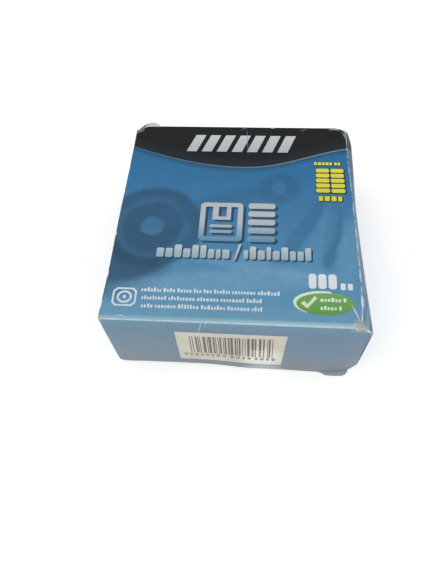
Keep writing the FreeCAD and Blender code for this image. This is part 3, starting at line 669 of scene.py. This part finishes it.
def makeFlaps():
    reach, low, high, taper = flaps["dust"]
    sleeveEnd, seamTop = carton["sleeveEnd"], flaps["seamWidth"]

    # dust flaps bow in a little between the wall and their free edge
    def bowed(fromWall):
        return sleeveEnd - flaps["bow"] * math.sin(math.pi * min(fromWall / reach, 1) * 0.8)

    leftDust = [(0.3, low), (reach, low + taper), (reach, high - taper), (0.3, high)]
    rightDust = [
        (0.3, low), (0, 3), (-0.5, high - 1.2), (0.3, high), (reach, high - taper), (reach, low + taper),
    ]
    seam = [(near + 1.2, 0.6), (sleeveEnd - 2, 0.6), (sleeveEnd - 8, seamTop), (near + 7, seamTop)]
    inner = rectangle(left + 1, right - 0.6, 0.3, 32)
    dustCuts = [i * reach / 8 for i in range(9)]
    # the base lip's pale grey is partly its rubbed board and partly painted light, lightened against the
    # shade the glued end casts on it
    rubbedBase = makeInk("rubbedBaseBoard", "#a7acb4", roughness=0.7)
    tornBoard = makeMaterial(peeledBoardSurface, "tornBoardLayer")
    for name, outline, uCuts, vCuts, place, outside, options in (
        ("dust_flap_left", leftDust, dustCuts, [], lambda u, z: (left + u, bowed(u), z), (0, 1, 0), {}),
        ("dust_flap_right", rightDust, dustCuts, [], lambda u, z: (right - u, bowed(u), z), (0, 1, 0), {}),
        ("glued_seam_tab", seam, [], [], lambda y, z: (left + card + 0.02, y, z), (-1, 0, 0), {}),
        ("inner_end_flap", inner, [], [], lambda x, z: (x, near + card + 0.05, z), (0, -1, 0), {}),
        ("base_lip", flaps["lip"], [], [], lambda x, y: (x, y, card), (0, 0, 1),
         {"materials": [rubbedBase, bareBoard]}),
        ("peeled_corner", flaps["peeled"], [-47, -45.5, -44, -42.5, -41, -39.5], [45, 47, 48.5, 50, 51],
         onPly, (0, 0, 1), {"thickness": 0.34, "materials": [tornBoard]}),
    ):
        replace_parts(cutSheet(name, [outline], uCuts, vCuts, place, outside, **options), "carton")


makeLid()
makeFlaps()
print("the lid and flaps are made")

# the print, each piece a thin film of ink
ink = {"lift": 0.05, "shadowLift": 0.03, "thickness": 0.04, "cell": 3}


def block(lowX, highX, lowY, highY, corner=0.3):
    corner = min(corner, (highX - lowX) / 2.2, (highY - lowY) / 2.2)
    return [(lowX + corner, lowY), (highX - corner, lowY), (highX, lowY + corner), (highX, highY - corner),
            (highX - corner, highY), (lowX + corner, highY), (lowX, highY - corner), (lowX, lowY + corner)]


def ellipse(x, y, halfX, halfY, sides=48):
    turns = [2 * math.pi * i / sides for i in range(sides)]
    return [(x + halfX * math.cos(a), y + halfY * math.sin(a)) for a in turns]


# quads between two outlines with the same number of corners
def between(outer, inner):
    count = len(outer)
    return [[outer[i], outer[(i + 1) % count], inner[(i + 1) % count], inner[i]] for i in range(count)]


def hollowBlock(lowX, highX, lowY, highY, corner, stroke):
    innerCorner = max(corner - stroke * 0.4, 0.05)
    inner = block(lowX + stroke, highX - stroke, lowY + stroke, highY - stroke, innerCorner)
    return between(block(lowX, highX, lowY, highY, corner), inner)


def moved(outlines, x, y):
    return [[(u + x, v + y) for u, v in outline] for outline in outlines]


# blocks made larger all round
def grown(outlines, by):
    larger = []
    for outline in outlines:
        u, v = zip(*outline)
        larger.append(block(min(u) - by, max(u) + by, min(v) - by, max(v) + by, 0.3 + by))
    return larger


# a row of small blocks in groups
def wordRow(seed, lowX, highX, lowY, height, width, gap, wordGap, tall=0.35, corner=0.2):
    draw = random.Random(seed)
    blocks, x, inWord = [], lowX, draw.randint(4, 9)
    while x + width * 0.7 < highX:
        wide = width * draw.uniform(0.75, 1.25)
        rise = height * (1.4 if draw.random() < tall else 1)
        blocks.append(block(x, min(x + wide, highX), lowY, lowY + rise, corner))
        inWord -= 1
        x += wide + (gap if inWord else wordGap)
        inWord = inWord or draw.randint(3, 9)
    return blocks


def everyCell(outlines, axis):
    places = [corner[axis] for outline in outlines for corner in outline]
    count = int((max(places) - min(places)) / ink["cell"])
    return [min(places) + ink["cell"] * (i + 0.5) for i in range(count)]


# a film of ink on the front panel, or elsewhere
def printOn(name, outlines, material, lift=ink["lift"], place=onFront, outside=(0, 0, 1),
            slot="printed_card"):
    def lifted(u, v):
        return place(u, v) + Vector(outside) * lift

    cutSheet(name, outlines, everyCell(outlines, 0), everyCell(outlines, 1), lifted, outside,
             ink["thickness"], [material], slot=slot)


printOnEnd = partial(printOn, place=onEnd, outside=(0, -1, 0), slot="label_paper")


headerStripes = {"firstX": -25.2, "step": 6.55, "count": 7, "wide": 4.4, "slant": 3.6, "y": (34.9, 44.6)}
bigMark = {"place": (-16.3, -12.4), "size": (17.2, 19), "cornerAndStroke": (1.2, 2.1)}
wordShadow = (0.7, -0.6)
markShadow = (1.1, -0.9)


def makeHeaderStripes():
    firstX, step, count, wide, slant, (lowY, highY) = headerStripes.values()
    starts = [firstX + step * i for i in range(count)]
    stripes = [[(x, lowY), (x + wide, lowY), (x + wide + slant, highY), (x + slant, highY)] for x in starts]
    printOn("print_header_stripes", stripes, makeInk("silverInk", "#b4babd", "#cdd1d3", (33, 46)))


# a diskette and a stack of diskettes, with two rows of blocks and a slanted bar under them
def makeMark():
    shadowInk = makeInk("dropShadowInk", "#244a66")
    x, y = bigMark["place"]
    wide, tall = bigMark["size"]
    mark = hollowBlock(x, x + wide, y, y + tall, *bigMark["cornerAndStroke"])
    mark += [
        block(x + 5, x + 7.4, y + 11.6, y + 17.2, 0.2), block(x + 10.6, x + 12.4, y + 11.6, y + 17.2, 0.2),
        block(x + 5, x + 12.4, y + 10.4, y + 12, 0.2), block(x + 4.2, x + 13, y + 6.6, y + 8),
        block(x + 4.2, x + 13, y + 3.9, y + 5.3),
    ]
    mark += [block(3, 13.8, y + i * 4.08, y + i * 4.08 + 2.7, 0.7) for i in range(5)]
    printOn("print_big_mark", mark, makeInk("silverToBlueInk", "#4f88ad", "#b9c0c4", (-13, -3)))
    printOn("print_big_mark_shadow", moved(mark, *markShadow), shadowInk, ink["shadowLift"])
    words = wordRow(11, -31.8, -3.4, -20.6, 4.3, 2.45, 0.6, 0.6, corner=0.5)
    words += [[(-1.9, -21.2), (-0.9, -21.2), (1, -13.6), (0, -13.6)]]
    words += wordRow(29, 1.9, 28.2, -20.6, 4.3, 2.3, 0.6, 0.6, corner=0.5)
    printOn("print_words", words, makeInk("paleSilverInk", "#8fa9b8", "#bccad1", (-21, -15)))
    printOn("print_words_shadow", moved(words, *wordShadow), shadowInk, ink["shadowLift"])


# ten yellow bars in two stacks, with blocks above and below
def makeYellowBars():
    bars = []
    for column in range(2):
        x = column * 6.2
        bars += [block(30.2 + x, 35.8 + x, 13.2 + row * 2.7, 15.3 + row * 2.7, 0.5) for row in range(5)]
    bars += wordRow(5, 31.2, 40.4, 8.8, 2.5, 1.9, 0.6, 0.6, tall=0)
    bars += wordRow(3, 29.6, 41.4, 28, 1.6, 1.15, 0.35, 0.9, tall=0)
    printOn("print_yellow_bars", bars, makeInk("yellowInk", "#d9d435", "#e6e052", (8, 30)))
    outlineInk = makeInk("darkOutlineInk", "#1d3444")
    printOn("print_yellow_bars_edge", moved(grown(bars, 0.38), 0.2, -0.2), outlineInk, ink["shadowLift"])


# white blocks, the round green patch, the ring emblem and the small lines
def makeLowerPrint():
    white = makeInk("whiteInk", "#ccd9df", "#dfe8ec", (-45, -25))
    green = makeInk("greenInk", "#5f9a45", "#75a86a", (-44, -34))
    paleGreen = makeInk("paleGreenInk", "#cfe0bd", "#dcebd2", (-44, -34))
    sizes = [block(26.6 + 3.5 * i, 29.4 + 3.5 * i, -32.6, -26.2, 0.7) for i in range(3)]
    sizes += [block(37.6, 39.3, -32.8, -30), block(40, 41.7, -32.8, -30)]
    printOn("print_white_blocks", sizes, white)
    printOn("print_round_patch", [ellipse(31.75, -38.65, 10.4, 4.75)], green)
    rim = between(ellipse(31.6, -38.55, 10.75, 5, 60), ellipse(32.5, -38.95, 10.5, 4.55, 60))
    printOn("print_patch_edge", rim[13:39], paleGreen, 0.07)
    tick = [
        [(23.6, -38.9), (24.8, -37.9), (26, -39.2), (25.9, -41)],
        [(25.9, -41), (26, -39.2), (28.6, -35.8), (29.6, -36.6)],
    ]
    tick += wordRow(7, 30.6, 39.2, -38, 1.25, 0.95, 0.3, 0.8)
    tick += wordRow(8, 30.6, 37.6, -41.4, 1.25, 0.95, 0.3, 0.8)
    printOn("print_patch_marks", tick, paleGreen, 0.1)
    ringX, ringY = -41.45, -38.7
    emblem = hollowBlock(-46, -36.9, -42.6, -34.8, 1.4, 0.7)
    emblem += between(ellipse(ringX, ringY, 2.9, 2.6, 24), ellipse(ringX, ringY, 2.1, 1.8, 24))
    emblem += [ellipse(ringX, ringY, 0.7, 0.7, 12)]
    printOn("print_ring_emblem", emblem, white)
    lines = []
    for seed, lowX, highX, y in ((41, -35.4, 16.8, -36.2), (42, -34.9, 9.6, -39.6), (43, -34.7, 9.7, -43)):
        lines += wordRow(seed, lowX, highX, y, 1.25, 0.75, 0.38, 0.9, corner=0.15)
    printOn("print_small_lines", lines, white)


endLabel = {
    "corners": [(-22.7, 5.2), (18, 4.6), (19.5, 29.3), (-22.7, 29.7)],
    "bars": (-17.6, 14.2),
    "barFoot": 12,
    "barTop": 26.3,
    "rubbed": (5.4, 12, 17),  # from and to along X, and how high the bars are paler there
    "narrowest": 0.32,
    "row": (-20.6, 16.6, 8.9),  # from and to along X, and its foot
    "seed": 4,
    "paperLift": 0.08,
    "inkLift": 0.12,
}


# uncoated label stock: off-white, with a faint cloudiness and a painted glare right of the middle
def labelPaperSurface(add, here):
    cloud = add("TexNoise", {"Vector": here, "Scale": 180, "Detail": 4})
    colour = add("ValToRGB", [cloud], stops=[(0.3, "#cfcbbd"), (0.7, "#dad6ca")])
    # painted glare: the paper is whiter right of the middle
    rubbed = add("VectorMath DISTANCE", [here, (0.0098, -0.0488, 0.0105)], output="Value")
    rubbed = add("MapRange", [rubbed, 0.0045, 0.0105, 0.95, 0])
    colour = add("Mix", {0: rubbed, 6: colour, 7: "#f8f7f4"}, **mixColours)
    return add("BsdfPrincipled", {"Base Color": colour, "Roughness": 0.6, "IOR": 1.45})


def makeEndLabel():
    paper = makeMaterial(labelPaperSurface, "uncoatedLabelPaper")
    printOnEnd("end_label", [endLabel["corners"]], paper, endLabel["paperLift"])
    draw = random.Random(endLabel["seed"])
    first, last = endLabel["bars"]
    rubbedFrom, rubbedTo, fadeHeight = endLabel["rubbed"]
    rowStart, rowEnd, rowFoot = endLabel["row"]
    x, bars, faded = first, [], []
    while x < last:
        wide = endLabel["narrowest"] * draw.choice((1, 1, 2, 2, 3))
        foot = endLabel["barFoot"] - (x - first) * 0.035
        if rubbedFrom < x < rubbedTo:
            faded.append(rectangle(x, x + wide, foot, fadeHeight))
            foot = fadeHeight
        bars.append(rectangle(x, x + wide, foot, endLabel["barTop"]))
        x += wide + endLabel["narrowest"] * draw.choice((1, 1, 2, 3))
    row = wordRow(17, rowStart, rowEnd, 0, 2.5, 1.3, 0.9, 1.6, tall=0, corner=0.5)
    faded += [[(u, v + rowFoot - (u - rowStart) * 0.022) for u, v in outline] for outline in row]
    barInk = makeInk("greyBarInk", "#7a7269", roughness=0.6, speckle=0.3)
    fadedInk = makeInk("fadedBarInk", "#aaa397", roughness=0.6, speckle=0.3)
    printOnEnd("end_label_bars", bars, barInk, endLabel["inkLift"])
    printOnEnd("end_label_row", faded, fadedInk, endLabel["inkLift"])


makeHeaderStripes()
makeMark()
makeYellowBars()
makeLowerPrint()
makeEndLabel()
print("the print and the end label are made")

# scuffs, scratches and frayed board: stretches along the folds (from, to, width), then the seed of
# the first, how far in they lie, their step and wander, their lift and the way they face
foldScuffs = {
    "right": (
        [(22, 14, 0.3), (9, 2, 0.35), (-4, -9, 0.5), (-10, -16.5, 0.35), (-18, -21, 0.3), (-23, -29, 0.5),
         (-31, -34, 0.4), (-34.5, -40.5, 0.95), (-42, -46, 0.5)],
        0, -0.1, 0.8, 0.15, (0.02, 0, 0.07), (0.3, 0, 1),
    ),
    "left": (
        [(25.5, 23, 0.45), (12, 10.5, 0.35), (-9, -11, 0.5), (-27, -31, 0.3),
         (-40, -44, 0.35)],
        40, 0.25, 0.5, 0.12, (0, 0, 0.07), (-0.2, 0, 1),
    ),
    "near": (
        [(-48, -40.5, 0.5), (-39, -33, 0.3), (-32, -19, 0.4), (-18, -9, 0.3), (-8, 6, 0.4), (8, 16, 0.3),
         (17, 31, 0.45), (32, 42, 0.5)],
        20, 0.12, 0.9, 0.12, (0, -0.05, 0.06), (0, -0.5, 1),
    ),
}
# frayed flakes of board round the crushed corner: direction, length, width, curl
flakeShapes = [
    ((-1, 0.1, 0.1), 2.3, 0.55, 0.35), ((-0.8, 0.7, 0.1), 1.7, 0.7, 0.5), ((-0.1, 1, 0.1), 2.4, 0.7, 0.4),
    ((0.7, 0.6, -0.3), 1.5, 0.6, 0.3), ((1, 0, -0.75), 2.2, 0.7, 0.35), ((-0.7, -0.1, -0.7), 1.7, 0.6, 0.3),
    ((-0.1, -0.1, -1), 2, 0.7, 0.4), ((0.5, -0.1, -1), 1.6, 0.6, 0.3),
]


# narrow strips along lines of points: points, width, direction the strip faces
def makeStrips(name, strips, thickness, material):
    verts, faces = [], []
    for points, width, facing in strips:
        first, last = len(verts), len(points) - 1
        for i, point in enumerate(points):
            along = points[min(i + 1, last)] - points[max(i - 1, 0)]
            across = along.cross(facing).normalized() * width / 2 * (0.2 + math.sin(math.pi * i / last))
            verts += [(point - across) * mm, (point + across) * mm]
        faces += [(i, i + 1, i + 3, i + 2) for i in range(first, first + 2 * last, 2)]
    mesh = bpy.data.meshes.new(name)
    mesh.from_pydata(verts, [], faces)
    finishSheet(name, mesh, thickness, [material])


# steps between the corners of a line, with a slight wander
def wandering(corners, step, wander, seed):
    points = []
    for start, end in zip(corners, corners[1:]):
        count = max(2, round((Vector(end) - Vector(start)).length / step))
        points += [Vector(start).lerp(Vector(end), i / count) for i in range(count)]
    points.append(Vector(corners[-1]))
    return [p + noise.noise_vector(p.to_3d() * 1.7 + Vector((seed, 0, 0))).to_2d() * wander for p in points]


def onTop(corners, width, seed, step=1):
    points = [onFront(x, y) + Vector((0, 0, 0.07)) for x, y in wandering(corners, step, 0.12, seed)]
    return points, width, Vector((0, 0, 1))


# the scuffs along one of the front panel's folds
def alongFold(side):
    stretches, firstSeed, inset, step, wander, lift, facing = foldScuffs[side]
    strips = []
    foldX, foldY = (0, near) if side == "near" else (carton[side], 0)
    for seed, (start, end, width) in enumerate(stretches, firstSeed):
        ends = [(start, inset), (end, inset)] if side == "near" else [(inset, start), (inset, end)]
        line = [onFront(foldX + p.x, foldY + p.y) for p in wandering(ends, step, wander, seed)]
        strips.append(([p + Vector(lift) for p in line], width, Vector(facing)))
    return strips


def makeScuffs():
    bright = [
        onTop([(40.9, -38.9), (42.2, -41.7), (43.9, -45.3)], 0.45, 1),
        onTop([(11, 49.3), (12, 49.5), (13, 49.3)], 0.6, 2),
        onTop([(37.5, 49.5), (42, 49), (43.5, 48.1), (44.2, 46.8), (44.5, 44.5), (44.5, 38)], 0.42, 3),
        onTop([(36.5, 48.6), (39.5, 48.9), (41.8, 48)], 0.35, 12),
        onTop([(42.6, 47.2), (43.5, 45.8), (43.9, 43.6)], 0.3, 13),
    ]
    bright += alongFold("right") + alongFold("left")
    # down the edge from the crushed corner to the shoulder under it
    line = [onCarton(right, near, top - 0.3 - 0.5 * i) + Vector((0.05, -0.08, 0.06)) for i in range(7)]
    bright.append((line, 0.7, Vector((0.4, -0.7, 0.6))))
    scuffed = makeInk("scuffedBoard", "#cdd9de", "#aeb6ba", (-40, 45), roughness=0.8, speckle=0.3)
    makeStrips("scuff_marks", bright, 0.04, scuffed)

    pale = [onTop([(-44.2, -47.1), (-42.7, -46.5), (-40.9, -46.7), (-39.3, -47.5)], 0.3, 14, step=0.7)]
    pale += alongFold("near")
    # two scratches that run from the near fold down the glued end
    scratches = [[(-12, 39.4), (-12.6, 34.5), (-13.9, 29)], [(-10, 39.6), (-11, 34.6)]]
    for seed, corners in enumerate(scratches, 60):
        line = [onEnd(p.x, p.y) + Vector((0, -0.06, 0.04)) for p in wandering(corners, 0.9, 0.1, seed)]
        pale.append((line, 0.28, Vector((0, -1, 0.4))))
    paleScuff = makeInk("paleScuffedBoard", "#b6d2de", roughness=0.7, speckle=0.25)
    makeStrips("near_fold_scuffs", pale, 0.04, paleScuff)

    dull = [
        onTop([(0.5, 49.2), (0.9, 45), (1.1, 41), (1.5, 37), (1.7, 33)], 0.17, 6),
        onTop([(-2, 47.9), (-1, 48.8), (0.3, 49.3)], 0.25, 8),
        onTop([(24, 47.6), (27, 49.2)], 0.2, 9),
    ]
    makeStrips("faint_scratches", dull, 0.03, makeInk("faintScratch", "#8d9aa2", roughness=0.7, speckle=0.3))
    edge = [onCarton(right, near, top - 4.5 - i) + Vector((0.02, -0.06, 0)) for i in range(30)]
    makeStrips("greyed_end_edge", [(edge, 0.6, Vector((0.4, -0.9, 0)))], 0.03,
               makeInk("greyedBoard", "#6c6a70", roughness=0.7, speckle=0.4))

    corner, outward = onCarton(right, near, top), Vector((0.25, -0.6, 0.75))
    flakes, shares = [], [i / 4 for i in range(5)]
    for turn, length, width, curl in flakeShapes:
        way = Vector(turn).normalized()
        facing = (outward - way * way.dot(outward)).normalized()
        points = [corner + facing * (0.1 + curl * s ** 2) + way * length * (0.1 + 0.9 * s) for s in shares]
        flakes.append((points, width, facing))
    makeStrips("frayed_corner", flakes, 0.08, bareBoard)


makeScuffs()
print("the scuffs and frayed corner are made")

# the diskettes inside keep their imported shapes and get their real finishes
diskette = {
    "spindle": (-1.9, 2.225),
    "hubRadius": 12.5,
    "shellHex": "#1b1c1f",
    "tabHex": "#26282b",
    "filmHex": "#2a211c",
    "steelHex": "#c3c4c6",
    "labelHex": "#e9e8e3",
}


# moulded ABS: near black, with the fine matt texture of a spark-eroded mould
def plasticSurface(add, here, hexValue):
    # the texture's real 0.05 mm grains don't show, so they are drawn at 0.3 mm
    grains = add("TexVoronoi", {"Vector": here, "Scale": 3300})
    shade = add("MapRange", [grains, 0, 1, 0.85, 1.15])
    colour = add("VectorMath SCALE", {0: toLinear(hexValue)[:3], "Scale": shade})
    bump = add("Bump", {"Height": grains, "Strength": 0.2, "Distance": 0.00003})
    return add("BsdfPrincipled", {"Base Color": colour, "Roughness": 0.5, "IOR": 1.54, "Normal": bump})


# stamped stainless steel: pale, with fine rolling lines along X that streak its shine
def steelSurface(add, here):
    stretched = add("Mapping", {"Vector": here, "Scale": (60, 4000, 4000)})
    lines = add("TexNoise", {"Vector": stretched, "Scale": 1, "Detail": 2})
    roughness = add("MapRange", [lines, 0, 1, 0.25, 0.45])
    bump = add("Bump", {"Height": lines, "Strength": 0.1, "Distance": 0.00002})
    return add("BsdfPrincipled", {
        "Base Color": diskette["steelHex"], "Metallic": 1, "Roughness": roughness, "Normal": bump,
    })


# ferric oxide film, dark brown and glossy, with the stamped steel hub at its middle
def filmSurface(add, here):
    spindleX, spindleY = diskette["spindle"]
    fromSpindle = add("VectorMath SUBTRACT", [here, (spindleX * mm, spindleY * mm, 0)])
    flat = add("VectorMath MULTIPLY", [fromSpindle, (1, 1, 0)])
    radius = add("VectorMath LENGTH", [flat], output="Value")
    # the polished tracks show as faint rings, drawn 0.5 mm apart
    turned = add("Math MULTIPLY", [radius, 12500])
    rings = add("Math SINE", [turned])
    roughness = add("MapRange", [rings, -1, 1, 0.22, 0.32])
    onHub = add("Math LESS_THAN", [radius, (diskette["hubRadius"] + 0.05) * mm])
    colour = add("Mix", {0: onHub, 6: diskette["filmHex"], 7: diskette["steelHex"]}, **mixColours)
    return add("BsdfPrincipled", {"Base Color": colour, "Metallic": onHub, "Roughness": roughness})


# blank self-adhesive labels on backing paper: smooth white with a faint cloudiness
def blankLabelSurface(add, here):
    cloud = add("TexNoise", {"Vector": here, "Scale": 150, "Detail": 3})
    shade = add("MapRange", [cloud, 0, 1, 0.93, 1.03])
    colour = add("VectorMath SCALE", {0: toLinear(diskette["labelHex"])[:3], "Scale": shade})
    return add("BsdfPrincipled", {"Base Color": colour, "Roughness": 0.55, "IOR": 1.45})


def finishDiskettes():
    shell = makeMaterial(plasticSurface, "mouldedAbs", diskette["shellHex"])
    finishes = {
        "front_shell": shell,
        "back_shell": shell,
        "shutter": makeMaterial(steelSurface, "rolledStainlessSteel"),
        "disc": makeMaterial(filmSurface, "oxideFilmAndSteelHub"),
        "write_tab": makeMaterial(plasticSurface, "mouldedAbsSlider", diskette["tabHex"]),
        "label_sheets": makeMaterial(blankLabelSurface, "coatedLabelSheet"),
    }
    for nodeName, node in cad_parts.items():
        for ending, material in finishes.items():
            if nodeName.endswith(ending):
                for materialSlot in node.material_slots:
                    materialSlot.material = material


finishDiskettes()
print("the diskettes are finished")

# floor, light and world
studio = {
    "floorHex": "#f4f4f2",
    "floorCameraGlow": 0.35,
    "worldStrength": 0.72,
    "keyWatts": 0.7,
    "fillShare": 0.5,
    "lampSize": 0.6,
}


# a matt white sheet that also glows a little to the eye
def floorSurface(add, _):
    path = add("LightPath").node.outputs
    seen = add("Math MAXIMUM", [path["Is Camera Ray"], path["Is Glossy Ray"]])
    seen = add("Math MAXIMUM", [seen, path["Is Transmission Ray"]])
    glow = add("Math MULTIPLY", [seen, studio["floorCameraGlow"]])
    diffuse = add("BsdfDiffuse", {"Color": studio["floorHex"]})
    emission = add("Emission", {"Color": "#ffffff", "Strength": glow})
    return add("AddShader", [diffuse, emission])


def makeFloor():
    bpy.ops.mesh.primitive_plane_add(size=6, location=(0, 0, -0.0001))
    floor = bpy.context.object
    floor.name = "floor"
    floor.data.materials.append(makeMaterial(floorSurface, "mattPaperFloor"))


def makeWorld():
    world = bpy.data.worlds.new("softRoom")
    bpy.context.scene.world = world
    world.use_nodes = True
    world.node_tree.nodes.clear()
    add = partial(addNode, world.node_tree)
    path = add("LightPath").node.outputs
    seen = add("Math MAXIMUM", [path["Is Camera Ray"], path["Is Transmission Ray"]])
    strength = add("MapRange", [seen, 0, 1, studio["worldStrength"], 1])
    sky = add("Background", {"Color": "#ffffff", "Strength": strength})
    add("OutputWorld", [sky])


# one broad lamp over the left, one weaker over the near right
def makeLamps():
    for name, place, watts in (
        ("keyLamp", (-330, -180, 420), studio["keyWatts"]),
        ("fillLamp", (330, -260, 300), studio["keyWatts"] * studio["fillShare"]),
    ):
        data = bpy.data.lights.new(name, "AREA")
        data.energy = watts
        data.size = studio["lampSize"]
        spot = Vector(place) * mm
        turn = (-spot).to_track_quat("-Z", "Y").to_matrix().to_4x4()
        addObject(name, data).matrix_world = Matrix.Translation(spot) @ turn


makeFloor()
makeWorld()
makeLamps()
bpy.context.scene.view_settings.view_transform = "Standard"
print("the studio is made")
